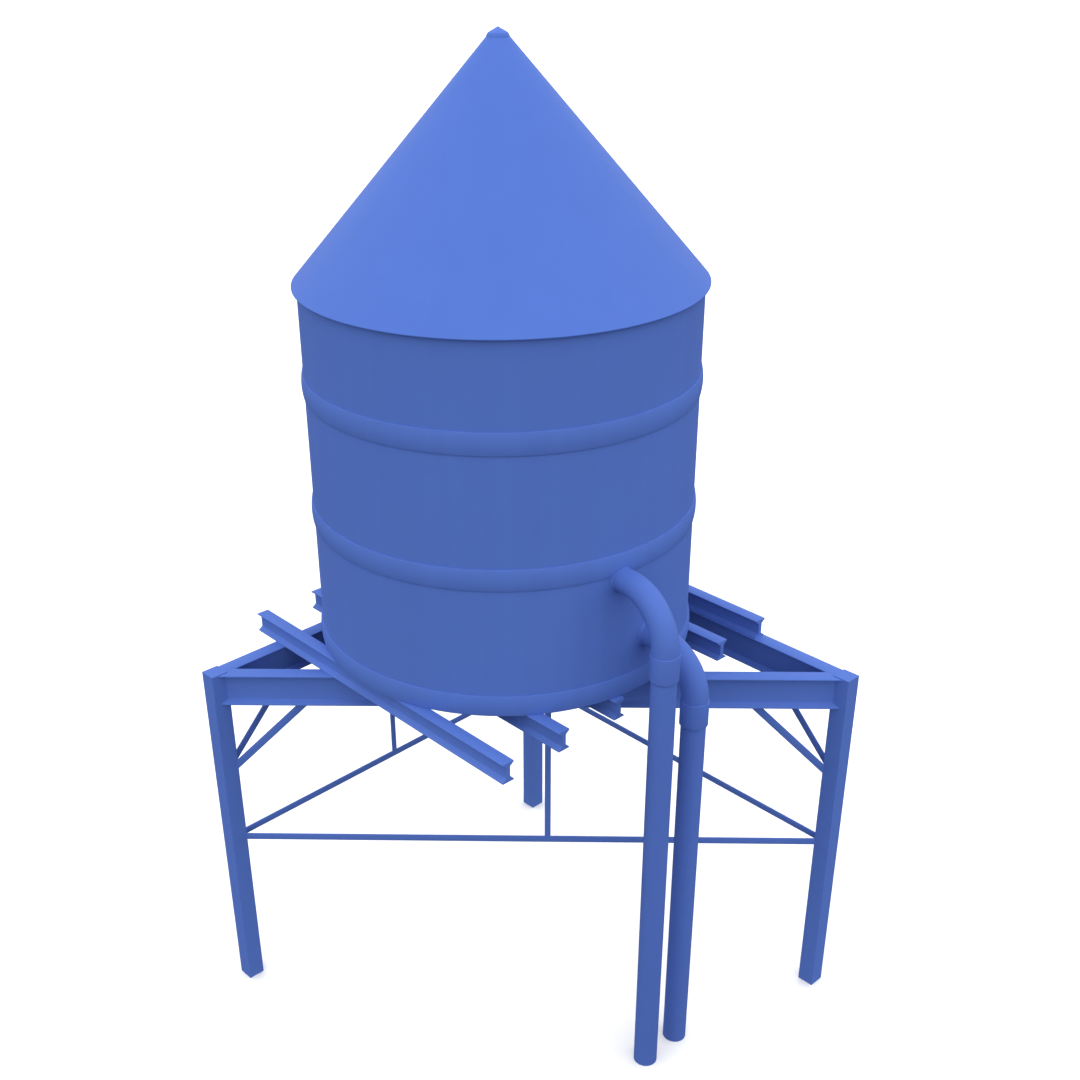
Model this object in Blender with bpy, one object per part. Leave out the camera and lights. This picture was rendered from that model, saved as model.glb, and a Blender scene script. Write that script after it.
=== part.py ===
"""Water tower: a round steel tank under a cone roof, on a three-legged trestle.

Metres, +Z up. The origin is on the ground at the middle of the plan. +X runs along
the front beam, from the left post to the right post, and +Y runs back to the third post.
"""

import math

import bmesh
import bpy
from mathutils import Vector

GAP = 0.0003                     # clearance between pieces that touch
UP = Vector((0.0, 0.0, 1.0))

# Tank
TANK_X = -0.245
TANK_Y = -0.065
TANK_RADIUS = 1.830
TANK_FLOOR_Z = 4.059
WALL_THICKNESS = 0.012
FLOOR_THICKNESS = 0.014
TANK_SIDES = 72                  # facets around everything that shares the tank's axis
WALL_SEGMENTS = 8

# Roof
RIM_RADIUS = 1.875
RIM_Z = 7.560                    # top edge of the eaves
ROOF_APEX_Z = 9.680              # where the roof's slopes would meet
ROOF_THICKNESS_Z = 0.018         # measured upright
ROOF_HOLE_RADIUS = 0.082         # the cap covers it
CAP_RADIUS = 0.100
CAP_SHOULDER_RADIUS = 0.086
CAP_LIP = 0.004
CAP_SHOULDER_RISE = 0.026
CAP_TIP_Z = 9.645

# Hoops around the tank
BAND_BOTTOMS = {"band_lower": TANK_FLOOR_Z, "band_middle": 5.322, "band_upper": 6.567}
BAND_HEIGHT = 0.206
BAND_EDGE = 0.011                # how far the hoop's edges stand off the wall
BAND_BULGE = 0.023               # how far its middle stands off the wall
BAND_STATIONS = (-1.0, -0.75, -0.4, 0.4, 0.75, 1.0)      # bottom edge to top edge

# Trestle
POST_SIDE = 0.1755
POST_TOP_Z = 3.866               # the front posts stand a little proud of the beams
BEAM_TOP_Z = 3.859
FRONT_POST_X = 3.0815
FRONT_POST_Y = -0.832
BACK_POST_Y = 2.361

# I-sections: height, flange width, web, flange thickness at its tip and at the web
BEAM = (0.331, 0.154, 0.036, 0.012, 0.042)
JOIST_HEIGHT = TANK_FLOOR_Z - BEAM_TOP_Z - 2 * GAP
JOIST = (JOIST_HEIGHT, 0.130, 0.044, 0.011, 0.043)

# Joists lie along the right beam's direction. Each is placed by its distance from the
# tank's axis, and their ends keep in line with the left beam.
JOIST_OFFSETS = (-1.715, -1.021, -0.284, 0.478, 1.239)
JOIST_REACH_BACK = 1.896
JOIST_REACH_FRONT = 1.863

# Flat bars on edge: ties between the posts, hangers from the beams, knee braces at 45
# degrees
BAR_THICKNESS = 0.012
TIE_DEPTH = 0.074
TIE_Z = 1.864                    # middle of the ties
HANGER_WIDTH = 0.062
KNEE_DEPTH = 0.077

# From the post's axis to where the brace's middle meets its beam
KNEE_REACH = {"front": 0.873, "left": 0.839, "right": 0.839}

# From the middle of the side towards its second post
HANGER_SHIFT = {"front": 0.195, "left": -0.032, "right": 0.0}

# Downpipes: name, distance and direction from the tank's axis, height of the outlet
DOWNPIPES = (
    ("downpipe_a", 2.447, math.radians(-53.6), 5.270),
    ("downpipe_b", 2.410, math.radians(-42.6), 4.598),
)
PIPE_RADIUS = 0.118
PIPE_SIDES = 24
BEND_RADIUS = 0.475
BEND_STEPS = 10
BEND_END_RADIUS = 0.126          # the bend widens from the pipe's radius to this

# The bend's flare at the tank: how far out from the wall, and how much wider there
FLARE = ((0.0, 0.016), (0.006, 0.008), (0.015, 0.003), (0.030, 0.0))

COUPLING_RADIUS = 0.133
COUPLING_HEIGHT = 0.262
COUPLING_TOP_CHAMFER = 0.005
COUPLING_BOTTOM_CHAMFER = 0.012

# Paint, as linear colours
PAINT = {
    "roof_paint": (0.107, 0.212, 0.694),
    "tank_paint": (0.092, 0.178, 0.580),
    "steel_paint": (0.085, 0.162, 0.530),
    "pipe_paint": (0.089, 0.170, 0.555),
}
PAINT_ROUGHNESS = 0.55
SMOOTH_ANGLE = math.radians(30)  # facets that meet at less than this are shaded as round

POSTS = {
    "left": Vector((-FRONT_POST_X, FRONT_POST_Y, 0.0)),
    "right": Vector((FRONT_POST_X, FRONT_POST_Y, 0.0)),
    "back": Vector((0.0, BACK_POST_Y, 0.0)),
}
SIDES = {"front": ("left", "right"), "left": ("left", "back"), "right": ("right", "back")}
TANK_AXIS = Vector((TANK_X, TANK_Y, 0.0))
BEAM_BOTTOM_Z = BEAM_TOP_Z - BEAM[0]


def clear_scene():
    for obj in list(bpy.data.objects):
        bpy.data.objects.remove(obj, do_unlink=True)


def paint(slot):
    material = bpy.data.materials.get(slot)
    if material is None:
        material = bpy.data.materials.new(slot)
        material.use_nodes = True
        shader = material.node_tree.nodes["Principled BSDF"]
        shader.inputs["Base Color"].default_value = (*PAINT[slot], 1.0)
        shader.inputs["Roughness"].default_value = PAINT_ROUGHNESS
        shader.inputs["Metallic"].default_value = 0.0
        material.diffuse_color = (*PAINT[slot], 1.0)
    return material


def add_object(name, shape, slot=None, smooth=True):
    """Make an object from a shape's points and faces, and turn its faces outwards."""
    verts, faces = shape
    mesh = bpy.data.meshes.new(name)
    bm = bmesh.new()
    points = [bm.verts.new(v) for v in verts]
    for face in faces:
        bm.faces.new([points[i] for i in face])
    bmesh.ops.recalc_face_normals(bm, faces=bm.faces)
    bm.to_mesh(mesh)
    bm.free()
    if smooth:
        mesh.shade_smooth()
        mesh.set_sharp_from_angle(angle=SMOOTH_ANGLE)
    obj = bpy.data.objects.new(name, mesh)
    bpy.context.scene.collection.objects.link(obj)
    if slot:
        mesh.materials.append(paint(slot))
    return obj


def add_cutter(name, shape):
    """A guide volume that only shapes other pieces."""
    cutter = add_object(name, shape)
    cutter.hide_render = True
    cutter.display_type = "WIRE"
    return cutter


def cut(obj, cutter):
    modifier = obj.modifiers.new("cut_" + cutter.name, "BOOLEAN")
    modifier.operation = "DIFFERENCE"
    modifier.solver = "EXACT"
    modifier.object = cutter


def prism(rings):
    """Points and faces of a closed solid through a list of rings of equal length."""
    count = len(rings[0])
    verts = [point for ring in rings for point in ring]
    faces = [tuple(range(count)), tuple(range(len(verts) - count, len(verts)))]
    for start in range(0, len(verts) - count, count):
        for i in range(count):
            j = (i + 1) % count
            faces.append((start + i, start + j, start + count + j, start + count + i))
    return verts, faces


def level_across(direction):
    """The level direction across a run in plan."""
    return UP.cross(direction).normalized()


def turned(profile, first=0, last=TANK_SIDES, margin=0.0):
    """Sweep a closed profile of (radius, height) round the tank's axis.

    A whole turn closes on itself. A part of a turn runs between two facet edges, less
    the margin at each end, and is closed by flat ends.
    """
    whole = last - first == TANK_SIDES
    stations = range(first, last if whole else last + 1)
    rings = []
    for i in stations:
        angle = 2 * math.pi * i / TANK_SIDES
        if not whole:
            angle += margin * ((i == first) - (i == last))
        across = Vector((math.cos(angle), math.sin(angle), 0.0))
        rings.append([TANK_AXIS + r * across + Vector((0.0, 0.0, z)) for r, z in profile])
    verts, faces = prism(rings)
    if whole:
        count = len(profile)
        end = len(verts) - count
        faces = faces[2:]
        for i in range(count):
            j = (i + 1) % count
            faces.append((end + i, end + j, j, i))
    return verts, faces


def solid_of_revolution(outline):
    """Close an outline of (radius, height) with flat discs at both ends."""
    rings = []
    for r, z in outline:
        ring = []
        for i in range(TANK_SIDES):
            angle = 2 * math.pi * i / TANK_SIDES
            ring.append(TANK_AXIS + Vector((r * math.cos(angle), r * math.sin(angle), z)))
        rings.append(ring)
    return prism(rings)


def roof_z(radius):
    """Height of the roof's outer surface."""
    slope = (ROOF_APEX_Z - RIM_Z) / RIM_RADIUS
    return ROOF_APEX_Z - slope * radius


def band_outline(bottom, clearance=0.0):
    """A hoop's rounded outer face from bottom to top, as (radius, height)."""
    middle = bottom + BAND_HEIGHT / 2
    half_height = BAND_HEIGHT / 2 + clearance
    outline = []
    for s in BAND_STATIONS:
        stand_off = BAND_EDGE + (BAND_BULGE - BAND_EDGE) * (1 - s ** 2)
        outline.append((TANK_RADIUS + stand_off + clearance, middle + s * half_height))
    return outline


def build_tank():
    inner = TANK_RADIUS - WALL_THICKNESS
    wall = (
        (TANK_RADIUS, TANK_FLOOR_Z),
        (TANK_RADIUS, roof_z(TANK_RADIUS) - ROOF_THICKNESS_Z - GAP),
        (inner, roof_z(inner) - ROOF_THICKNESS_Z - GAP),
        (inner, TANK_FLOOR_Z),
    )
    facets = TANK_SIDES // WALL_SEGMENTS
    for i in range(WALL_SEGMENTS):
        shape = turned(wall, i * facets, (i + 1) * facets, GAP / 2 / TANK_RADIUS)
        add_object(f"tank_wall_{i + 1}", shape, "tank_paint")
    floor_radius = inner - GAP
    outline = ((floor_radius, TANK_FLOOR_Z), (floor_radius, TANK_FLOOR_Z + FLOOR_THICKNESS))
    add_object("tank_floor", solid_of_revolution(outline), "tank_paint")


def build_bands():
    inner = TANK_RADIUS + GAP
    for name, bottom in BAND_BOTTOMS.items():
        profile = band_outline(bottom) + [(inner, bottom + BAND_HEIGHT), (inner, bottom)]
        add_object(name, turned(profile), "tank_paint")


def build_roof():
    profile = (
        (RIM_RADIUS, RIM_Z),
        (ROOF_HOLE_RADIUS, roof_z(ROOF_HOLE_RADIUS)),
        (ROOF_HOLE_RADIUS, roof_z(ROOF_HOLE_RADIUS) - ROOF_THICKNESS_Z),
        (RIM_RADIUS, RIM_Z - ROOF_THICKNESS_Z),
    )
    add_object("roof_cone", turned(profile), "roof_paint")


def build_cap():
    """A low pointed cap that sits down over the roof's top like a hat."""
    rest = roof_z(CAP_RADIUS) + 2 * GAP
    top = roof_z(ROOF_HOLE_RADIUS) + 2 * GAP
    outline = (
        (ROOF_HOLE_RADIUS, top),
        (CAP_RADIUS, rest),
        (CAP_RADIUS, rest + CAP_LIP),
        (CAP_SHOULDER_RADIUS, rest + CAP_LIP + CAP_SHOULDER_RISE),
    )
    verts, faces = solid_of_revolution(outline)
    tip = len(verts)
    verts.append(TANK_AXIS + Vector((0.0, 0.0, CAP_TIP_Z)))
    shoulder = tip - TANK_SIDES
    faces.remove(tuple(range(shoulder, tip)))
    for i in range(TANK_SIDES):
        j = (i + 1) % TANK_SIDES
        faces.append((shoulder + i, shoulder + j, tip))
    add_object("roof_cap", (verts, faces), "roof_paint")


def tank_envelope():
    """What the pipes' outlets are cut to fit: the wall with its hoops."""
    wall = TANK_RADIUS + GAP
    outline = []
    for bottom in BAND_BOTTOMS.values():
        outline.append((wall, bottom - GAP))
        outline += band_outline(bottom, GAP)
        outline.append((wall, bottom + BAND_HEIGHT + GAP))
    outline.append((wall, RIM_Z))
    return add_cutter("guide_tank", solid_of_revolution(outline))


def post_prism(post, half_side, bottom, top):
    """A square post turned 45 degrees to the front beam."""
    half_diagonal = half_side * math.sqrt(2)
    corners = ((1, 0), (0, 1), (-1, 0), (0, -1))
    rings = []
    for z in (bottom, top):
        ring = [post + Vector((half_diagonal * x, half_diagonal * y, z)) for x, y in corners]
        rings.append(ring)
    return prism(rings)


def build_posts():
    """The back post stops at the beams' top, under the joist that crosses it."""
    guides = {}
    for name, post in POSTS.items():
        top = BEAM_TOP_Z if name == "back" else POST_TOP_Z
        shape = post_prism(post, POST_SIDE / 2, 0.0, top)
        add_object(f"post_{name}", shape, "steel_paint", smooth=False)
        guide = post_prism(post, POST_SIDE / 2 + GAP, -POST_SIDE, POST_TOP_Z + POST_SIDE)
        guides[name] = add_cutter(f"guide_post_{name}", guide)
    return guides


def i_section(start, end, top, section):
    """An I-beam between two points of the plan, with its top at the given height."""
    height, flange, web, tip, root = section
    half = height / 2
    quarter = [(flange / 2, half), (flange / 2, half - tip), (web / 2, half - root)]
    mirrored = [(across, -up) for across, up in reversed(quarter)]
    right = quarter + mirrored
    outline = right + [(-across, up) for across, up in reversed(right)]
    side = level_across(end - start)
    middle = Vector((0.0, 0.0, top - half))
    rings = []
    for point in (start, end):
        centre = point + middle
        rings.append([centre + across * side + Vector((0.0, 0.0, up)) for across, up in outline])
    return prism(rings)


def box_along(start, end, width, bottom, top):
    side = level_across(end - start)
    rings = []
    for point in (start, end):
        ring = []
        for across, z in ((-1, bottom), (1, bottom), (1, top), (-1, top)):
            ring.append(point + across * width / 2 * side + Vector((0.0, 0.0, z)))
        rings.append(ring)
    return prism(rings)


def build_beams(post_guides):
    """Beams between the posts; the front one is cut back to clear the other two."""
    beams = {}
    for name, (first, second) in SIDES.items():
        shape = i_section(POSTS[first], POSTS[second], BEAM_TOP_Z, BEAM)
        beams[name] = add_object(f"beam_{name}", shape, "steel_paint", smooth=False)
        cut(beams[name], post_guides[first])
        cut(beams[name], post_guides[second])
    bottom, top = BEAM_BOTTOM_Z - POST_SIDE, POST_TOP_Z + POST_SIDE
    for name in ("left", "right"):
        first, second = SIDES[name]
        shape = box_along(POSTS[first], POSTS[second], BEAM[1] + 2 * GAP, bottom, top)
        cut(beams["front"], add_cutter(f"guide_beam_{name}", shape))


def build_joists():
    """Joists laid side by side across the frame, the last one over the right beam."""
    along = (POSTS["right"] - POSTS["back"]).normalized()
    across = Vector((-along.y, along.x, 0.0))
    left_beam = (POSTS["back"] - POSTS["left"]).normalized()
    skew = left_beam.dot(along) / left_beam.dot(across)
    over_right_beam = (POSTS["right"] - TANK_AXIS).dot(across)
    for number, offset in enumerate(JOIST_OFFSETS + (over_right_beam,), start=1):
        middle = TANK_AXIS + offset * (across + skew * along)
        start = middle - JOIST_REACH_BACK * along
        end = middle + JOIST_REACH_FRONT * along
        shape = i_section(start, end, TANK_FLOOR_Z - GAP, JOIST)
        add_object(f"joist_{number}", shape, "steel_paint", smooth=False)


def flat_bar(start, end, depth, side):
    """A flat bar standing in the upright plane of its side of the trestle."""
    first, second = SIDES[side]
    normal = level_across(POSTS[second] - POSTS[first])
    edge = normal.cross(end - start).normalized()
    rings = []
    for point in (start, end):
        ring = []
        for across, out in ((-1, -1), (1, -1), (1, 1), (-1, 1)):
            ring.append(point + across * depth / 2 * edge + out * BAR_THICKNESS / 2 * normal)
        rings.append(ring)
    return prism(rings)


def build_ties(post_guides):
    for name, (first, second) in SIDES.items():
        start, end = (POSTS[post] + TIE_Z * UP for post in (first, second))
        tie = add_object(f"tie_{name}", flat_bar(start, end, TIE_DEPTH, name), "steel_paint")
        cut(tie, post_guides[first])
        cut(tie, post_guides[second])


def build_hangers():
    """An upright flat from each beam down to the tie below it."""
    for name, (first, second) in SIDES.items():
        towards = (POSTS[second] - POSTS[first]).normalized()
        place = (POSTS[first] + POSTS[second]) / 2 + HANGER_SHIFT[name] * towards
        foot = place + (TIE_Z + TIE_DEPTH / 2 + GAP) * UP
        head = place + (BEAM_BOTTOM_Z - GAP) * UP
        add_object(f"hanger_{name}", flat_bar(foot, head, HANGER_WIDTH, name), "steel_paint")


def build_knees(post_guides):
    """A brace at each end of each beam, cut level under the beam."""
    for name, ends in SIDES.items():
        for here, there in (ends, ends[::-1]):
            direction = ((POSTS[there] - POSTS[here]).normalized() + UP).normalized()
            foot = POSTS[here] + (BEAM_BOTTOM_Z - KNEE_REACH[name]) * UP
            verts, faces = flat_bar(foot, foot + direction, KNEE_DEPTH, name)
            head = []
            for point in verts[:4]:
                rise = BEAM_BOTTOM_Z - GAP - point.z
                head.append(point + rise / direction.z * direction)
            knee = add_object(f"knee_{name}_{here}", prism([verts[:4], head]), "steel_paint")
            cut(knee, post_guides[here])


def pipe_ring(centre, outwards, heading, radius):
    """A ring square to the pipe, numbered from the same side all along it."""
    side = Vector((-outwards.y, outwards.x, 0.0))
    up = heading.cross(side)
    turns = [2 * math.pi * i / PIPE_SIDES for i in range(PIPE_SIDES)]
    return [centre + radius * (math.cos(a) * side + math.sin(a) * up) for a in turns]


def build_downpipe(name, distance, direction, outlet_z, tank_guide):
    """A bend out of the tank's wall, a coupling below it and a pipe to the ground."""
    outwards = Vector((math.cos(direction), math.sin(direction), 0.0))
    foot = TANK_AXIS + distance * outwards
    bend_centre = foot - BEND_RADIUS * outwards + (outlet_z - BEND_RADIUS) * UP
    outlet = TANK_AXIS + TANK_RADIUS * outwards + outlet_z * UP
    root_radius = PIPE_RADIUS + FLARE[0][1]
    rings = [pipe_ring(outlet - PIPE_RADIUS * outwards, outwards, outwards, root_radius)]
    for out, extra in FLARE:
        centre = outlet + out * outwards
        rings.append(pipe_ring(centre, outwards, outwards, PIPE_RADIUS + extra))
    for i in range(BEND_STEPS + 1):
        turn = math.pi / 2 * i / BEND_STEPS
        centre = bend_centre + BEND_RADIUS * (math.sin(turn) * outwards + math.cos(turn) * UP)
        heading = math.cos(turn) * outwards - math.sin(turn) * UP
        radius = PIPE_RADIUS + (BEND_END_RADIUS - PIPE_RADIUS) * i / BEND_STEPS
        rings.append(pipe_ring(centre, outwards, heading, radius))
    bend = add_object(f"{name}_bend", prism(rings), "pipe_paint")
    cut(bend, tank_guide)

    top = outlet_z - BEND_RADIUS - GAP
    bottom = top - COUPLING_HEIGHT
    outline = (
        (COUPLING_RADIUS - COUPLING_BOTTOM_CHAMFER, bottom),
        (COUPLING_RADIUS, bottom + COUPLING_BOTTOM_CHAMFER),
        (COUPLING_RADIUS, top - COUPLING_TOP_CHAMFER),
        (COUPLING_RADIUS - COUPLING_TOP_CHAMFER, top),
    )
    rings = [pipe_ring(foot + z * UP, outwards, -UP, radius) for radius, z in outline]
    add_object(f"{name}_coupling", prism(rings), "pipe_paint")
    rings = [pipe_ring(foot + z * UP, outwards, -UP, PIPE_RADIUS) for z in (0.0, bottom - GAP)]
    add_object(f"{name}_pipe", prism(rings), "pipe_paint")


def main():
    clear_scene()
    build_tank()
    build_bands()
    build_roof()
    build_cap()
    post_guides = build_posts()
    build_beams(post_guides)
    build_joists()
    build_ties(post_guides)
    build_hangers()
    build_knees(post_guides)
    tank_guide = tank_envelope()
    for downpipe in DOWNPIPES:
        build_downpipe(*downpipe, tank_guide)


main()
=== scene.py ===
"""Water tower: the finished look of the tank, its roof, its trestle and its downpipes.

Metres, +Z up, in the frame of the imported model. Laid out as an add-on with one operator
for each group of pieces, and run as a script.
"""

import math

import bmesh
import bpy
from bpy.props import FloatProperty, FloatVectorProperty, IntProperty, PointerProperty
from mathutils import Matrix, Vector


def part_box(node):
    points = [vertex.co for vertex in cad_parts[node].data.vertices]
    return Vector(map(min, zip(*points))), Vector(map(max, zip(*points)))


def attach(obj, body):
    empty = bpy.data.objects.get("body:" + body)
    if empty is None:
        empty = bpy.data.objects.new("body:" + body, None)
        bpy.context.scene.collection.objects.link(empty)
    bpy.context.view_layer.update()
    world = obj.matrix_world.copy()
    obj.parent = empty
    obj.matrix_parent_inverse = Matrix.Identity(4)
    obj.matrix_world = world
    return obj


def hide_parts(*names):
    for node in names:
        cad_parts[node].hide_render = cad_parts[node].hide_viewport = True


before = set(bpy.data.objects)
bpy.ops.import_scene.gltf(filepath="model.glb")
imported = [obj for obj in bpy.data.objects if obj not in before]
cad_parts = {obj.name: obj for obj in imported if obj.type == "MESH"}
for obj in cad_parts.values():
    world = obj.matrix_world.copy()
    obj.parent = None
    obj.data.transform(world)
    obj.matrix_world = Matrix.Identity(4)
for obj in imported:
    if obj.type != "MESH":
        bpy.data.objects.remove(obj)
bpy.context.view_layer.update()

bl_info = {
    "name": "Water tower",
    "version": (1, 0, 0),
    "blender": (4, 5, 0),
    "location": "3D View > Sidebar > Water tower",
    "description": "Builds the visible pieces of a steel water tower around its frame",
    "category": "Object",
}

UP = Vector((0.0, 0.0, 1.0))
ROUND_ANGLE = math.radians(32)      # faces that meet at less than this are shaded as round
CLEARANCE = 0.0003                  # between pieces that touch


# Places and sizes that the frame gives

def middle(node):
    low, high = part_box(node)
    return (low + high) / 2


def top_of(node):
    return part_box(node)[1].z


def bottom_of(node):
    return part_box(node)[0].z


def height_of(node):
    return top_of(node) - bottom_of(node)


def half_width(node):
    low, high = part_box(node)
    return (high.x - low.x) / 2


def reach_of(node, start, level, thickness):
    """How far an upright flat bar runs from a point in a level direction."""
    low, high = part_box(node)
    corners = [Vector((x, y, 0.0)) for x in (low.x, high.x) for y in (low.y, high.y)]
    furthest = max((corner - start).dot(level) for corner in corners)
    return furthest - thickness * abs(level.x * level.y)


TANK_AXIS = Vector((*middle("tank_floor").xy, 0.0))
TANK_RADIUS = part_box("tank_wall_1")[1].x - TANK_AXIS.x
TANK_BOTTOM = bottom_of("tank_wall_1")
HOOPS = ("band_lower", "band_middle", "band_upper")
PIPES = ("downpipe_a", "downpipe_b")
POSTS = {
    name: Vector((*middle(f"post_{name}").xy, 0.0)) for name in ("left", "right", "back")
}
SIDES = {"front": ("left", "right"), "left": ("left", "back"), "right": ("right", "back")}
BEAM_BOTTOM = bottom_of("beam_front")
BEAM_HEIGHT = height_of("beam_front")


def length(label, about, value, **more):
    return FloatProperty(
        name=label, description=about, default=value, unit="LENGTH", precision=4, **more
    )


def colour(label, about, value):
    return FloatVectorProperty(
        name=label, description=about, default=value, subtype="COLOR", min=0.0, max=1.0
    )


class TankSizes(bpy.types.PropertyGroup):
    radius: length("Radius", "Outside radius of the tank's wall", TANK_RADIUS)
    plate: length("Plate", "Thickness of the wall", 0.012)
    sides: IntProperty(
        name="Sides", description="Facets round the tank, the hoops and the roof", default=216
    )
    hoop_edge: length("Hoop edge", "How far a hoop's edges stand off the wall", 0.011)
    hoop_bulge: length(
        "Hoop bulge", "How far a hoop's middle stands off the wall", 0.023
    )
    hoop_steps: IntProperty(
        name="Hoop steps", description="Facets up a hoop's rounded face", default=18
    )
    hoop_edge_radius: length("Hoop edge radius", "Rounding of a hoop's edges", 0.003)


class RoofSizes(bpy.types.PropertyGroup):
    rim_radius: length("Rim radius", "Radius of the eaves", half_width("roof_cone"))
    rim_height: length("Rim height", "Underside of the eaves", bottom_of("roof_cone"))
    sheet: length("Sheet", "Thickness of the roof, measured upright", 0.018)
    hole_radius: length("Hole radius", "Radius of the hole that the cap covers", 0.082)
    lip_radius: length("Lip radius", "Rounding of the eaves", 0.005)
    cap_radius: length("Cap radius", "Outside radius of the cap", half_width("roof_cap"))
    cap_lip: length("Cap lip", "Upright edge of the cap", 0.004)
    cap_shoulder: length("Cap shoulder", "Radius where the cap's top begins", 0.086)
    cap_rise: length("Cap rise", "Height of the cap's rounded shoulder", 0.026)
    cap_lip_radius: length("Cap lip radius", "Rounding of the cap's edge", 0.002)
    cap_shoulder_radius: length("Cap shoulder radius", "Rounding of its shoulder", 0.012)


class TrestleSizes(bpy.types.PropertyGroup):
    post_side: length(
        "Post side", "Width of the square posts", half_width("post_left") * math.sqrt(2)
    )
    post_edge: length("Post edge", "Rounding of the posts' edges", 0.0015)
    beam_flange: length("Beam flange", "Width of the beams", 0.154)
    beam_web: length("Beam web", "Thickness of the beams' web", 0.036)
    beam_tip: length("Beam flange tip", "Thickness of the flange at its edge", 0.012)
    beam_root: length("Beam flange root", "Thickness of the flange at the web", 0.042)
    joist_flange: length("Joist flange", "Width of the joists", 0.130)
    joist_web: length("Joist web", "Thickness of the joists' web", 0.044)
    joist_tip: length("Joist flange tip", "Thickness of the flange at its edge", 0.011)
    joist_root: length("Joist flange root", "Thickness of the flange at the web", 0.043)
    fillet: length("Fillet", "Radius between flange and web", 0.004)
    toe: length("Toe", "Rounding of the flanges' inner edges", 0.003)
    arris: length("Arris", "Rounding of the flanges' outer edges", 0.0015)
    bar_thickness: length("Bar thickness", "Thickness of the flat bars", 0.012)
    bar_edge: length("Bar edge", "Rounding of the flat bars' edges", 0.0015)
    hanger_width: length("Hanger width", "Width of the hangers", 0.062)
    brace_depth: length("Brace depth", "Depth of the knee braces", 0.077)


class PipeSizes(bpy.types.PropertyGroup):
    radius: length("Pipe radius", "Outside radius of the downpipes", half_width("downpipe_a_pipe"))
    bore: length("Pipe wall", "Thickness of the pipe at its open end", 0.009)
    bore_depth: length("Bore depth", "How deep the open end is hollow", 0.350)
    bend: length("Bend", "Radius of the bend's centre line", 0.475)
    bend_end: length("Bend end", "Outside radius of the bend at its coupling", 0.126)
    bend_steps: IntProperty(name="Bend steps", description="Facets along a bend", default=28)
    flare: length("Flare", "How much the bend widens where it meets the tank", 0.016)
    flare_reach: length("Flare reach", "How far out the flare runs", 0.030)
    sides: IntProperty(name="Sides", description="Facets round a pipe", default=64)
    coupling_radius: length("Coupling radius", "Outside radius of the couplings", 0.133)
    coupling_top: length("Coupling top", "Rounding of the couplings' upper ends", 0.005)
    coupling_foot: length("Coupling foot", "Rounding of the couplings' lower ends", 0.012)


class PaintColours(bpy.types.PropertyGroup):
    roof: colour("Roof", "Paint on the roof and its cap", (0.075, 0.156, 0.534))
    tank: colour("Tank", "Paint on the tank and its hoops", (0.081, 0.160, 0.520))
    steel: colour("Steelwork", "Paint on the posts, beams and joists", (0.084, 0.164, 0.523))
    pipe: colour("Pipes", "Paint on the downpipes", (0.079, 0.154, 0.507))
    roughness: FloatProperty(
        name="Roughness", description="How dull the paint is", default=0.65, min=0.0, max=1.0
    )
    gloss: FloatProperty(
        name="Gloss", description="Strength of the paint's sheen", default=0.10, min=0.0, max=1.0
    )


class StageLook(bpy.types.PropertyGroup):
    floor: colour("Floor", "The pale floor", (0.93, 0.93, 0.93))
    floor_size: length("Floor size", "Width of the floor", 700.0)
    sun: FloatProperty(name="Overhead light", description="Strength of the soft light", default=0.35)
    sun_spread: FloatProperty(
        name="Softness",
        description="How wide the overhead light is",
        default=math.radians(120),
        subtype="ANGLE",
    )
    sky: FloatProperty(name="Sky", description="Strength of the light from above", default=1.5)
    ground: FloatProperty(
        name="Ground", description="Share of that light that comes from below", default=0.10
    )
    lens: FloatProperty(
        name="Lens", description="Focal length", default=46.449, unit="CAMERA"
    )
    camera_place: FloatVectorProperty(
        name="Camera",
        description="Where the camera stands",
        default=(0.20414, -12.50731, 10.85007),
        unit="LENGTH",
    )
    camera_pitch: FloatProperty(
        name="Pitch",
        description="How far the camera looks down",
        default=math.radians(28.322),
        subtype="ANGLE",
    )
    camera_heading: FloatProperty(
        name="Heading",
        description="How far the camera turns to the left of straight ahead",
        default=math.radians(2.0),
        subtype="ANGLE",
    )
    camera_roll: FloatProperty(
        name="Roll",
        description="How far the camera leans",
        default=-0.012115,
        subtype="ANGLE",
    )
    shift: FloatVectorProperty(
        name="Shift", description="Sideways and upward shift of the lens", size=2,
        default=(0.030875, 0.066252),
    )


class TowerSettings(bpy.types.PropertyGroup):
    tank: PointerProperty(type=TankSizes)
    roof: PointerProperty(type=RoofSizes)
    trestle: PointerProperty(type=TrestleSizes)
    pipes: PointerProperty(type=PipeSizes)
    paint: PointerProperty(type=PaintColours)
    stage: PointerProperty(type=StageLook)


# Shader maths

class Wire:
    """A value that runs between a material's nodes. Sums on it add Math nodes."""

    def __init__(self, bench, socket):
        self.bench = bench
        self.socket = socket

    def maths(self, operation, first, second):
        return self.bench.add("ShaderNodeMath", {"operation": operation}, {0: first, 1: second})

    def __add__(self, other):
        return self.maths("ADD", self, other)

    def __radd__(self, other):
        return self.maths("ADD", other, self)

    def __sub__(self, other):
        return self.maths("SUBTRACT", self, other)

    def __rsub__(self, other):
        return self.maths("SUBTRACT", other, self)

    def __mul__(self, other):
        return self.maths("MULTIPLY", self, other)

    def __rmul__(self, other):
        return self.maths("MULTIPLY", other, self)


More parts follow.
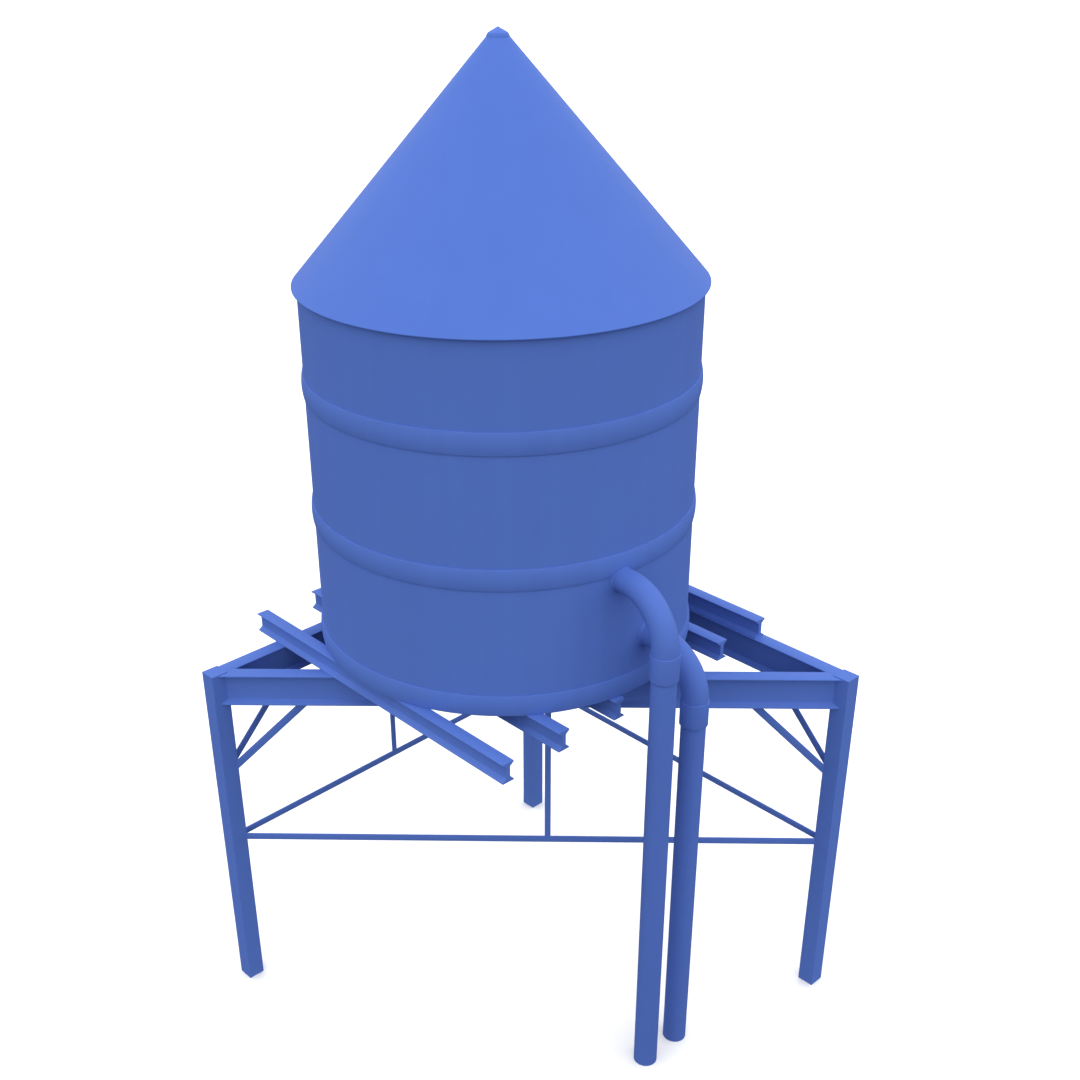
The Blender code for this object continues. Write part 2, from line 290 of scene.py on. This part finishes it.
class Bench:
    """Where one material or world is put together from nodes."""

    def __init__(self, tree):
        self.tree = tree

    def add(self, kind, settings, sockets, output=0):
        node = self.tree.nodes.new(kind)
        for setting, value in settings.items():
            setattr(node, setting, value)
        for socket, value in sockets.items():
            self.feed(node.inputs[socket], value)
        return Wire(self, node.outputs[output])

    def feed(self, target, value):
        if isinstance(value, Wire):
            self.tree.links.new(value.socket, target)
        else:
            target.default_value = value

    def noise(self, place, scale, detail, stretch=(1.0, 1.0, 1.0)):
        """Cloudy values round 0.5, with the pattern stretched along each axis."""
        moved = self.add(
            "ShaderNodeMapping", {}, {"Vector": place, "Location": tuple(-TANK_AXIS), "Scale": stretch}
        )
        return self.add(
            "ShaderNodeTexNoise", {}, {"Vector": moved, "Scale": scale, "Detail": detail}
        )

    def blend(self, amount, first, second):
        return self.add(
            "ShaderNodeMix",
            {"data_type": "RGBA", "clamp_factor": True},
            {0: amount, 6: (*first, 1.0), 7: (*second, 1.0)},
            output=2,
        )


def tinted(paint, factor):
    return tuple(min(1.0, channel * factor) for channel in paint)


def brushed_paint(name, paint, roughness, gloss, streaks, dents):
    """Blue paint: a little cloudy, streaked down the piece, with a fine eggshell grain."""
    material = bpy.data.materials.new(name)
    material.use_nodes = True
    bench = Bench(material.node_tree)
    shader = material.node_tree.nodes["Principled BSDF"]
    place = bench.add("ShaderNodeTexCoord", {}, {}, output="Object")
    clouds = bench.noise(place, 0.9, 3.0)
    runs = bench.noise(place, 5.0, 2.0, stretch=(1.0, 1.0, 0.07))
    patches = bench.noise(place, 14.0, 4.0)
    grain = bench.noise(place, 260.0, 2.0)
    tone = 0.5 + (clouds - 0.5) * 0.9 + (runs - 0.5) * streaks + (patches - 0.5) * 0.35
    bench.feed(shader.inputs["Base Color"], bench.blend(tone, tinted(paint, 0.95), tinted(paint, 1.05)))
    dullness = roughness + (patches - 0.5) * 0.16 + (grain - 0.5) * 0.08
    bench.feed(shader.inputs["Roughness"], dullness)
    shader.inputs["Specular IOR Level"].default_value = gloss
    swell = bench.noise(place, 1.7, 1.0)
    uneven = bench.add("ShaderNodeBump", {}, {"Strength": 1.0, "Distance": dents, "Height": swell})
    relief = bench.add(
        "ShaderNodeBump", {}, {"Strength": 0.35, "Distance": 0.0006, "Height": grain, "Normal": uneven}
    )
    bench.feed(shader.inputs["Normal"], relief)
    material.diffuse_color = (*paint, 1.0)
    return material


def finish_for(slot):
    """The paint of one of the record's material slots, made the first time it is asked for."""
    made = bpy.data.materials.get(f"brushed_{slot}")
    if made is not None:
        return made
    colours = bpy.context.scene.water_tower.paint
    recipes = {
        "roof_paint": (colours.roof, 0.5, 0.0040),
        "tank_paint": (colours.tank, 0.9, 0.0040),
        "steel_paint": (colours.steel, 0.2, 0.0008),
        "pipe_paint": (colours.pipe, 0.6, 0.0008),
    }
    paint, streaks, dents = recipes[slot]
    return brushed_paint(
        f"brushed_{slot}", tuple(paint), colours.roughness, colours.gloss, streaks, dents
    )


# Hand work

def let_go():
    if bpy.context.mode != "OBJECT":
        bpy.ops.object.mode_set(mode="OBJECT")
    bpy.ops.object.select_all(action="DESELECT")


def take(piece):
    """Make a piece the only selected and the active object."""
    let_go()
    piece.select_set(True)
    bpy.context.view_layer.objects.active = piece


def work_on(piece, kind="EDGE"):
    take(piece)
    bpy.ops.object.mode_set(mode="EDIT")
    bpy.ops.mesh.select_mode(type=kind)
    bpy.ops.mesh.select_all(action="SELECT")


def named(name):
    """Name the primitive just added and put its place into its mesh."""
    piece = bpy.context.active_object
    piece.name = name
    piece.data.name = name
    bpy.ops.object.transform_apply(location=True, rotation=True, scale=True)
    return piece


def pick(piece, kind, wanted):
    """In edit mode, select only the faces or edges that pass a test of their place."""
    bpy.ops.mesh.select_mode(type=kind)
    bpy.ops.mesh.select_all(action="DESELECT")
    mesh = bmesh.from_edit_mesh(piece.data)
    found = mesh.faces if kind == "FACE" else mesh.edges
    for item in found:
        if wanted(item):
            item.select_set(True)
    bmesh.update_edit_mesh(piece.data)


def edge_middle(edge):
    return (edge.verts[0].co + edge.verts[1].co) / 2


def close_up(piece):
    """Merge what coincides, close open ends and turn every face outwards."""
    bpy.ops.mesh.select_mode(type="VERT")
    bpy.ops.mesh.select_all(action="SELECT")
    bpy.ops.mesh.remove_doubles(threshold=1e-5)
    bpy.ops.mesh.select_all(action="SELECT")
    bpy.ops.mesh.fill_holes(sides=0)
    bpy.ops.mesh.select_all(action="SELECT")
    bpy.ops.mesh.normals_make_consistent(inside=False)
    let_go()


def place_copy(piece, name, place, heading):
    """A copy with its own mesh, turned about the vertical and put in its place."""
    take(piece)
    bpy.ops.object.duplicate()
    copy = bpy.context.active_object
    copy.rotation_euler = (0.0, 0.0, heading)
    copy.location = place
    return named(name)


def cut_to_fit(piece, cutter):
    take(piece)
    modifier = piece.modifiers.new("fit", "BOOLEAN")
    modifier.operation = "DIFFERENCE"
    modifier.solver = "EXACT"
    modifier.object = cutter
    bpy.ops.object.modifier_apply(modifier=modifier.name)


def discard(piece):
    bpy.data.objects.remove(piece, do_unlink=True)


def complete(piece, slot, *nodes):
    """Shade a piece, paint it and put it in the place of its nodes."""
    take(piece)
    bpy.ops.object.shade_smooth_by_angle(angle=ROUND_ANGLE)
    piece.data.materials.clear()
    piece.data.materials.append(finish_for(slot))
    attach(piece, "root")
    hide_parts(*nodes)
    let_go()


def rounded_corner(corner, before, after, radius, steps=4):
    """Points that round the corner of an outline between its two neighbours."""
    corner, before, after = Vector(corner), Vector(before), Vector(after)
    towards_before = (before - corner).normalized()
    towards_after = (after - corner).normalized()
    half = towards_before.angle(towards_after) / 2
    reach = radius / math.tan(half)
    start = corner + reach * towards_before
    end = corner + reach * towards_after
    centre = corner + (towards_before + towards_after).normalized() * (radius / math.sin(half))
    points = []
    for i in range(steps + 1):
        along = start.lerp(end, i / steps) - centre
        points.append(tuple(centre + along.normalized() * radius))
    return points


def rounded_outline(points):
    """An outline of (radius, height, rounding) with its corners rounded."""
    outline = []
    for i, (r, z, rounding) in enumerate(points):
        if rounding:
            before = points[i - 1][:2]
            after = points[(i + 1) % len(points)][:2]
            outline += rounded_corner((r, z), before, after, rounding)
        else:
            outline.append((r, z))
    return outline


def lathe(name, axis, outline, sides, closed=True):
    """Turn an outline of (radius, height) round an upright axis.

    A circle is drawn at the outline's first point, and each next ring is extruded from
    the last and resized. A closed outline comes back to where it began.
    """
    let_go()
    radius, height = outline[0]
    bpy.ops.mesh.primitive_circle_add(
        vertices=sides, radius=radius, fill_type="NOTHING", location=(axis.x, axis.y, height)
    )
    piece = named(name)
    work_on(piece)
    stations = outline[1:] + outline[:1] if closed else outline[1:]
    for next_radius, next_height in stations:
        rise = (0.0, 0.0, next_height - height)
        bpy.ops.mesh.extrude_region_move(TRANSFORM_OT_translate={"value": rise})
        factor = next_radius / radius
        bpy.ops.transform.resize(
            value=(factor, factor, 1.0), center_override=(axis.x, axis.y, next_height)
        )
        radius, height = max(next_radius, 1e-9), next_height
    close_up(piece)
    return piece


# The pieces

class WATERTOWER_OT_tank(bpy.types.Operator):
    """Roll the tank's wall and lay its floor"""

    bl_idname = "water_tower.tank"
    bl_label = "Tank"

    def execute(self, context):
        sizes = context.scene.water_tower.tank
        outer = sizes.radius
        inner = outer - sizes.plate
        wall_top = top_of("tank_wall_1")
        outer_top = wall_top - sizes.plate
        outline = [
            (inner, TANK_BOTTOM), (outer, TANK_BOTTOM), (outer, outer_top), (inner, wall_top),
        ]
        wall = lathe("tank_wall", TANK_AXIS, outline, sizes.sides)
        complete(wall, "tank_paint", *[f"tank_wall_{i}" for i in range(1, 9)])

        low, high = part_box("tank_floor")
        outline = rounded_outline([
            (inner - 0.0005, low.z, 0.003), (inner - 0.0005, high.z, 0.0), (0.0, high.z, 0.0),
        ])
        outline = [(inner / 2, low.z)] + outline[:-1]
        floor = lathe("tank_floor_plate", TANK_AXIS, outline, sizes.sides, closed=False)
        complete(floor, "tank_paint", "tank_floor")
        return {"FINISHED"}


class WATERTOWER_OT_hoops(bpy.types.Operator):
    """Roll the rounded hoops that stand round the wall"""

    bl_idname = "water_tower.hoops"
    bl_label = "Hoops"

    def execute(self, context):
        sizes = context.scene.water_tower.tank
        for node in HOOPS:
            low, high = bottom_of(node), top_of(node)
            half = (high - low) / 2
            wall = sizes.radius + 0.0005
            face = []
            for i in range(sizes.hoop_steps + 1):
                s = 2 * i / sizes.hoop_steps - 1
                stand_off = sizes.hoop_edge + (sizes.hoop_bulge - sizes.hoop_edge) * (1 - s ** 2)
                face.append((sizes.radius + stand_off, low + half * (s + 1)))
            first, last = face[0], face[-1]
            lower = rounded_corner(first, (wall, low), face[1], sizes.hoop_edge_radius)
            upper = rounded_corner(last, face[-2], (wall, high), sizes.hoop_edge_radius)
            outline = [(wall, low)] + lower + face[1:-1] + upper + [(wall, high)]
            hoop = lathe(f"hoop_{node.split('_')[1]}", TANK_AXIS, outline, sizes.sides)
            complete(hoop, "tank_paint", node)
        return {"FINISHED"}


class WATERTOWER_OT_roof(bpy.types.Operator):
    """Form the cone of the roof and the cap on its point"""

    bl_idname = "water_tower.roof"
    bl_label = "Roof"

    def execute(self, context):
        tower = context.scene.water_tower
        sizes = tower.roof
        top = top_of("roof_cone")
        rim_top = sizes.rim_height + sizes.sheet
        outline = rounded_outline([
            (sizes.hole_radius, top - sizes.sheet, 0.0),
            (sizes.rim_radius, sizes.rim_height, sizes.lip_radius),
            (sizes.rim_radius, rim_top, sizes.lip_radius),
            (sizes.hole_radius, top, 0.0),
        ])
        cone = lathe("roof_sheet", TANK_AXIS, outline, tower.tank.sides)
        complete(cone, "roof_paint", "roof_cone")

        low, high = bottom_of("roof_cap"), top_of("roof_cap")
        shoulder = low + sizes.cap_lip + sizes.cap_rise
        slope = (top - rim_top) / (sizes.rim_radius - sizes.hole_radius)
        under = low + slope * (sizes.cap_radius - sizes.hole_radius)
        outline = rounded_outline([
            (sizes.hole_radius, under, 0.0),
            (sizes.cap_radius, low, 0.0),
            (sizes.cap_radius, low + sizes.cap_lip, sizes.cap_lip_radius),
            (sizes.cap_shoulder, shoulder, sizes.cap_shoulder_radius),
            (0.0, high, 0.0),
        ])
        cap = lathe("roof_finial_cap", TANK_AXIS, outline, tower.tank.sides // 2, closed=False)
        complete(cap, "roof_paint", "roof_cap")
        return {"FINISHED"}


def square_post(name, place, side, edge, height):
    """An upright square post, turned 45 degrees, with its edges eased."""
    let_go()
    bpy.ops.mesh.primitive_cube_add(size=1.0, location=(place.x, place.y, height / 2))
    post = bpy.context.active_object
    post.scale = (side, side, height)
    post.rotation_euler = (0.0, 0.0, math.radians(45))
    named(name)
    work_on(post)
    pick(post, "EDGE", lambda edge: abs((edge.verts[0].co - edge.verts[1].co).z) > side)
    bpy.ops.mesh.bevel(offset=edge, segments=3, affect="EDGES")
    let_go()
    return post


class WATERTOWER_OT_posts(bpy.types.Operator):
    """Stand the three square posts on the ground"""

    bl_idname = "water_tower.posts"
    bl_label = "Posts"

    def execute(self, context):
        sizes = context.scene.water_tower.trestle
        for name, place in POSTS.items():
            node = f"post_{name}"
            post = square_post(
                f"square_{node}", place, sizes.post_side, sizes.post_edge, top_of(node)
            )
            complete(post, "steel_paint", node)
        return {"FINISHED"}


def rolled_section(name, span, height, flange, web, tip, root, sizes):
    """An I-section along X, centred on the origin.

    A box without ends is split at the flanges, and the middle of each side is pushed in
    to the web, which leaves the flanges tapered. Then its edges are eased.
    """
    let_go()
    bpy.ops.mesh.primitive_cube_add(size=1.0)
    piece = bpy.context.active_object
    piece.scale = (span, flange, height)
    named(name)
    work_on(piece, "FACE")
    half = height / 2
    pick(piece, "FACE", lambda face: abs(face.normal.x) > 0.5)
    bpy.ops.mesh.delete(type="FACE")
    for level in (half - tip, half - root, root - half, tip - half):
        bpy.ops.mesh.select_all(action="SELECT")
        bpy.ops.mesh.bisect(plane_co=(0.0, 0.0, level), plane_no=(0.0, 0.0, 1.0))
    for side in (-1, 1):
        pick(piece, "FACE", lambda face: face.normal.y * side > 0.5
             and abs(face.calc_center_median().z) < half - root)
        bpy.ops.transform.translate(value=(0.0, side * (web - flange) / 2, 0.0))

    def lengthwise(across, up):
        def wanted(edge):
            place = edge_middle(edge)
            along = abs(edge.verts[0].co.x - edge.verts[1].co.x) > span / 2
            near = abs(abs(place.y) - across) < 1e-4 and abs(abs(place.z) - up) < 1e-4
            return along and near
        return wanted

    pick(piece, "EDGE", lengthwise(web / 2, half - root))
    bpy.ops.mesh.bevel(offset=sizes.fillet, offset_type="OFFSET", segments=5, affect="EDGES")
    pick(piece, "EDGE", lengthwise(flange / 2, half - tip))
    bpy.ops.mesh.bevel(offset=sizes.toe, offset_type="OFFSET", segments=3, affect="EDGES")
    pick(piece, "EDGE", lengthwise(flange / 2, half))
    bpy.ops.mesh.bevel(offset=sizes.arris, offset_type="OFFSET", segments=2, affect="EDGES")
    close_up(piece)
    return piece


class WATERTOWER_OT_beams(bpy.types.Operator):
    """Set the beams between the posts, each end cut to its neighbours"""

    bl_idname = "water_tower.beams"
    bl_label = "Beams"

    def execute(self, context):
        sizes = context.scene.water_tower.trestle
        level = (BEAM_BOTTOM + BEAM_HEIGHT / 2) * UP
        cutters = {}
        for name, place in POSTS.items():
            cutters[name] = square_post(
                f"cutter_{name}", place, sizes.post_side, sizes.post_edge, 2 * BEAM_BOTTOM
            )
        beams = {}
        for name, (first, second) in SIDES.items():
            run = POSTS[second] - POSTS[first]
            pattern = rolled_section(
                "beam_pattern", run.length, BEAM_HEIGHT, sizes.beam_flange, sizes.beam_web,
                sizes.beam_tip, sizes.beam_root, sizes,
            )
            place = (POSTS[first] + POSTS[second]) / 2 + level
            beams[name] = place_copy(pattern, f"i_beam_{name}", place, math.atan2(run.y, run.x))
            discard(pattern)
            cut_to_fit(beams[name], cutters[first])
            cut_to_fit(beams[name], cutters[second])
        for name in ("left", "right"):
            first, second = SIDES[name]
            run = POSTS[second] - POSTS[first]
            let_go()
            bpy.ops.mesh.primitive_cube_add(size=1.0)
            block = bpy.context.active_object
            block.scale = (run.length, sizes.beam_flange + 2 * CLEARANCE, 2 * BEAM_HEIGHT)
            block.rotation_euler = (0.0, 0.0, math.atan2(run.y, run.x))
            block.location = (POSTS[first] + POSTS[second]) / 2 + level
            named("beam_cutter")
            cut_to_fit(beams["front"], block)
            discard(block)
        for name, beam in beams.items():
            complete(beam, "steel_paint", f"beam_{name}")
        for cutter in cutters.values():
            discard(cutter)
        return {"FINISHED"}


class WATERTOWER_OT_joists(bpy.types.Operator):
    """Lay the joists that carry the tank across the beams"""

    bl_idname = "water_tower.joists"
    bl_label = "Joists"

    def execute(self, context):
        sizes = context.scene.water_tower.trestle
        run = (POSTS["right"] - POSTS["back"]).normalized()
        low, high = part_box("joist_1")
        span = (high.x - low.x - sizes.joist_flange * abs(run.y)) / abs(run.x)
        pattern = rolled_section(
            "joist_pattern", span, high.z - low.z, sizes.joist_flange, sizes.joist_web,
            sizes.joist_tip, sizes.joist_root, sizes,
        )
        for i in range(1, 7):
            node = f"joist_{i}"
            joist = place_copy(pattern, f"i_{node}", middle(node), math.atan2(run.y, run.x))
            complete(joist, "steel_paint", node)
        discard(pattern)
        return {"FINISHED"}


def flat_bar(name, start, end, depth, side, sizes):
    """A flat bar on edge between two points in the upright plane of a side, edges eased."""
    first, second = SIDES[side]
    run = (end - start).normalized()
    normal = UP.cross(POSTS[second] - POSTS[first]).normalized()
    let_go()
    bpy.ops.mesh.primitive_cube_add(size=1.0)
    bar = bpy.context.active_object
    bar.scale = ((end - start).length, sizes.bar_thickness, depth)
    named(name)
    work_on(bar)
    pick(bar, "EDGE", lambda edge: (edge.verts[0].co - edge.verts[1].co).length > 2 * depth)
    bpy.ops.mesh.bevel(offset=sizes.bar_edge, segments=2, affect="EDGES")
    let_go()
    bar.rotation_euler = Matrix((run, normal, run.cross(normal))).transposed().to_euler()
    bar.location = (start + end) / 2
    take(bar)
    return named(name)


class WATERTOWER_OT_bracing(bpy.types.Operator):
    """Fit the flat ties, hangers and knee braces between the posts and beams"""

    bl_idname = "water_tower.bracing"
    bl_label = "Bracing"

    def execute(self, context):
        sizes = context.scene.water_tower.trestle
        posts = {name: bpy.data.objects[f"square_post_{name}"] for name in POSTS}
        head_level = (BEAM_BOTTOM - CLEARANCE) * UP
        for name, ends in SIDES.items():
            node = f"tie_{name}"
            first, second = (POSTS[end] + middle(node).z * UP for end in ends)
            tie = flat_bar(f"flat_{node}", first, second, height_of(node), name, sizes)
            for end in ends:
                cut_to_fit(tie, posts[end])
            complete(tie, "steel_paint", node)

            place = Vector((*middle(f"hanger_{name}").xy, 0.0))
            foot = place + (top_of(node) + CLEARANCE) * UP
            head = place + head_level
            hanger = flat_bar(f"flat_hanger_{name}", foot, head, sizes.hanger_width, name, sizes)
            complete(hanger, "steel_paint", f"hanger_{name}")

            for here, there in (ends, ends[::-1]):
                node = f"knee_{name}_{here}"
                level = (POSTS[there] - POSTS[here]).normalized()
                outer_reach = reach_of(node, POSTS[here], level, sizes.bar_thickness)
                reach = outer_reach - sizes.brace_depth / math.sqrt(2)
                foot = POSTS[here] + (BEAM_BOTTOM - CLEARANCE - reach) * UP
                head = foot + (reach + sizes.brace_depth) * (level + UP)
                brace = flat_bar(f"flat_{node}", foot, head, sizes.brace_depth, name, sizes)
                work_on(brace)
                bpy.ops.mesh.bisect(
                    plane_co=head_level, plane_no=UP, use_fill=True, clear_outer=True
                )
                let_go()
                cut_to_fit(brace, posts[here])
                complete(brace, "steel_paint", node)
        return {"FINISHED"}


def swept_bend(name, foot, outlet, joint, tower):
    """A bend from the tank's wall to the pipe below, flared at the wall.

    It is swept in the plane of X and Z from a circle on the wall, ring by ring, and then
    turned to face its pipe.
    """
    sizes = tower.pipes
    run = foot - TANK_AXIS
    wall = tower.tank.radius - tower.tank.plate / 2
    bend_start = run.length - sizes.bend
    rings = [(wall, sizes.radius + sizes.flare)]
    for i in range(5):
        part = i / 4
        out = tower.tank.radius + part * sizes.flare_reach
        rings.append((out, sizes.radius + sizes.flare * (1 - part) ** 3))
    rings.append((bend_start, sizes.radius))
    let_go()
    bpy.ops.mesh.primitive_circle_add(
        vertices=sizes.sides,
        radius=rings[0][1],
        fill_type="NOTHING",
        location=(wall, 0.0, outlet),
        rotation=(0.0, math.radians(90), 0.0),
    )
    bend = named(name)
    work_on(bend)
    for (x, radius), (next_x, next_radius) in zip(rings, rings[1:]):
        move = (next_x - x, 0.0, 0.0)
        bpy.ops.mesh.extrude_region_move(TRANSFORM_OT_translate={"value": move})
        factor = next_radius / radius
        bpy.ops.transform.resize(
            value=(factor, factor, factor), center_override=(next_x, 0.0, outlet)
        )
    pivot = (bend_start, 0.0, outlet - sizes.bend)
    step = math.radians(90) / sizes.bend_steps
    radius = sizes.radius
    for i in range(1, sizes.bend_steps + 1):
        bpy.ops.mesh.extrude_region_move()
        bpy.ops.transform.rotate(value=-step, orient_axis="Y", center_override=pivot)
        next_radius = sizes.radius + (sizes.bend_end - sizes.radius) * i / sizes.bend_steps
        factor = next_radius / radius
        centre = (
            pivot[0] + sizes.bend * math.sin(i * step), 0.0, pivot[2] + sizes.bend * math.cos(i * step)
        )
        bpy.ops.transform.resize(value=(factor, factor, factor), center_override=centre)
        radius = next_radius
    drop = (0.0, 0.0, joint - pivot[2])
    bpy.ops.mesh.extrude_region_move(TRANSFORM_OT_translate={"value": drop})
    close_up(bend)
    bend.rotation_euler = (0.0, 0.0, math.atan2(run.y, run.x))
    bend.location = TANK_AXIS
    take(bend)
    return named(name)


class WATERTOWER_OT_downpipes(bpy.types.Operator):
    """Bend the downpipes out of the tank and run them to the ground"""

    bl_idname = "water_tower.downpipes"
    bl_label = "Downpipes"

    def execute(self, context):
        tower = context.scene.water_tower
        sizes = tower.pipes
        for name in PIPES:
            foot = Vector((*middle(f"{name}_pipe").xy, 0.0))
            outlet = bottom_of(f"{name}_bend") + sizes.bend
            coupling_low = bottom_of(f"{name}_coupling")
            coupling_high = top_of(f"{name}_coupling")
            joint = (coupling_low + coupling_high) / 2
            bend = swept_bend(f"{name}_swept_bend", foot, outlet, joint, tower)
            complete(bend, "pipe_paint", f"{name}_bend")

            sleeve = sizes.radius - 0.002
            outline = rounded_outline([
                (sleeve, coupling_low, 0.0),
                (sizes.coupling_radius, coupling_low, sizes.coupling_foot),
                (sizes.coupling_radius, coupling_high, sizes.coupling_top),
                (sleeve, coupling_high, 0.0),
            ])
            coupling = lathe(f"{name}_sleeve", foot, outline, sizes.sides)
            complete(coupling, "pipe_paint", f"{name}_coupling")

            bore = sizes.radius - sizes.bore
            outline = rounded_outline([
                (bore, sizes.bore_depth, 0.0),
                (bore, 0.0, 0.002),
                (sizes.radius, 0.0, 0.002),
                (sizes.radius, joint, 0.0),
            ])
            pipe = lathe(f"{name}_run", foot, outline, sizes.sides, closed=False)
            complete(pipe, "pipe_paint", f"{name}_pipe")
        return {"FINISHED"}


class WATERTOWER_OT_stage(bpy.types.Operator):
    """Lay the pale floor, hang the soft light and set the camera"""

    bl_idname = "water_tower.stage"
    bl_label = "Stage"

    def execute(self, context):
        look = context.scene.water_tower.stage
        let_go()
        bpy.ops.mesh.primitive_plane_add(size=look.floor_size)
        floor = named("studio_floor")
        material = bpy.data.materials.new("pale_floor")
        material.use_nodes = True
        bench = Bench(material.node_tree)
        shader = material.node_tree.nodes["Principled BSDF"]
        place = bench.add("ShaderNodeTexCoord", {}, {}, output="Object")
        mottle = bench.noise(place, 0.6, 3.0)
        pale = tuple(look.floor)
        bench.feed(shader.inputs["Base Color"], bench.blend(mottle, tinted(pale, 0.99), tinted(pale, 1.01)))
        shader.inputs["Roughness"].default_value = 0.9
        shader.inputs["Specular IOR Level"].default_value = 0.1
        floor.data.materials.append(material)
        floor.visible_diffuse = False
        floor.visible_glossy = False

        world = bpy.data.worlds.new("studio")
        world.use_nodes = True
        context.scene.world = world
        bench = Bench(world.node_tree)
        direction = bench.add("ShaderNodeTexCoord", {}, {}, output="Generated")
        height = bench.add("ShaderNodeSeparateXYZ", {}, {"Vector": direction}, output="Z")
        above = bench.add(
            "ShaderNodeMapRange",
            {"clamp": True},
            {"Value": height, "From Min": -0.02, "From Max": 0.02, "To Min": look.ground, "To Max": 1.0},
        )
        background = world.node_tree.nodes["Background"]
        background.inputs["Color"].default_value = (1.0, 1.0, 1.0, 1.0)
        bench.feed(background.inputs["Strength"], above * look.sky)

        bpy.ops.object.light_add(type="SUN", rotation=(0.0, 0.0, 0.0))
        sun = context.active_object
        sun.name = "overhead_light"
        sun.data.energy = look.sun
        sun.data.angle = look.sun_spread

        pitch, turn, roll = look.camera_pitch, look.camera_heading, look.camera_roll
        right = Vector((math.cos(turn), math.sin(turn), 0.0))
        level = Vector((-math.sin(turn), math.cos(turn), 0.0))
        forward = math.cos(pitch) * level - math.sin(pitch) * UP
        above = math.sin(pitch) * level + math.cos(pitch) * UP
        image_right = math.cos(roll) * right + math.sin(roll) * above
        image_up = math.cos(roll) * above - math.sin(roll) * right
        turned = Matrix((image_right, image_up, -forward)).transposed()
        camera = bpy.data.objects.new("camera", bpy.data.cameras.new("camera"))
        context.scene.collection.objects.link(camera)
        camera.matrix_world = Matrix.Translation(look.camera_place) @ turned.to_4x4()
        camera.data.lens = look.lens
        camera.data.sensor_width = 36.0
        camera.data.shift_x, camera.data.shift_y = look.shift
        camera.data.clip_end = 2000.0
        context.scene.camera = camera
        context.scene.view_settings.view_transform = "Standard"
        let_go()
        return {"FINISHED"}


STEPS = (
    WATERTOWER_OT_tank,
    WATERTOWER_OT_hoops,
    WATERTOWER_OT_roof,
    WATERTOWER_OT_posts,
    WATERTOWER_OT_beams,
    WATERTOWER_OT_joists,
    WATERTOWER_OT_bracing,
    WATERTOWER_OT_downpipes,
    WATERTOWER_OT_stage,
)


class WATERTOWER_PT_pieces(bpy.types.Panel):
    """The tower's pieces, in the order they are made"""

    bl_idname = "WATERTOWER_PT_pieces"
    bl_label = "Water tower"
    bl_space_type = "VIEW_3D"
    bl_region_type = "UI"
    bl_category = "Water tower"

    def draw(self, context):
        for step in STEPS:
            self.layout.operator(step.bl_idname)


SETTINGS = (
    TankSizes, RoofSizes, TrestleSizes, PipeSizes, PaintColours, StageLook, TowerSettings,
)


def register():
    for made in SETTINGS + STEPS + (WATERTOWER_PT_pieces,):
        bpy.utils.register_class(made)
    bpy.types.Scene.water_tower = PointerProperty(type=TowerSettings)


def unregister():
    del bpy.types.Scene.water_tower
    for made in reversed(SETTINGS + STEPS + (WATERTOWER_PT_pieces,)):
        bpy.utils.unregister_class(made)


def main():
    register()
    bpy.ops.water_tower.tank()
    bpy.ops.water_tower.hoops()
    bpy.ops.water_tower.roof()
    bpy.ops.water_tower.posts()
    bpy.ops.water_tower.beams()
    bpy.ops.water_tower.joists()
    bpy.ops.water_tower.bracing()
    bpy.ops.water_tower.downpipes()
    bpy.ops.water_tower.stage()


if __name__ == "__main__":
    main()
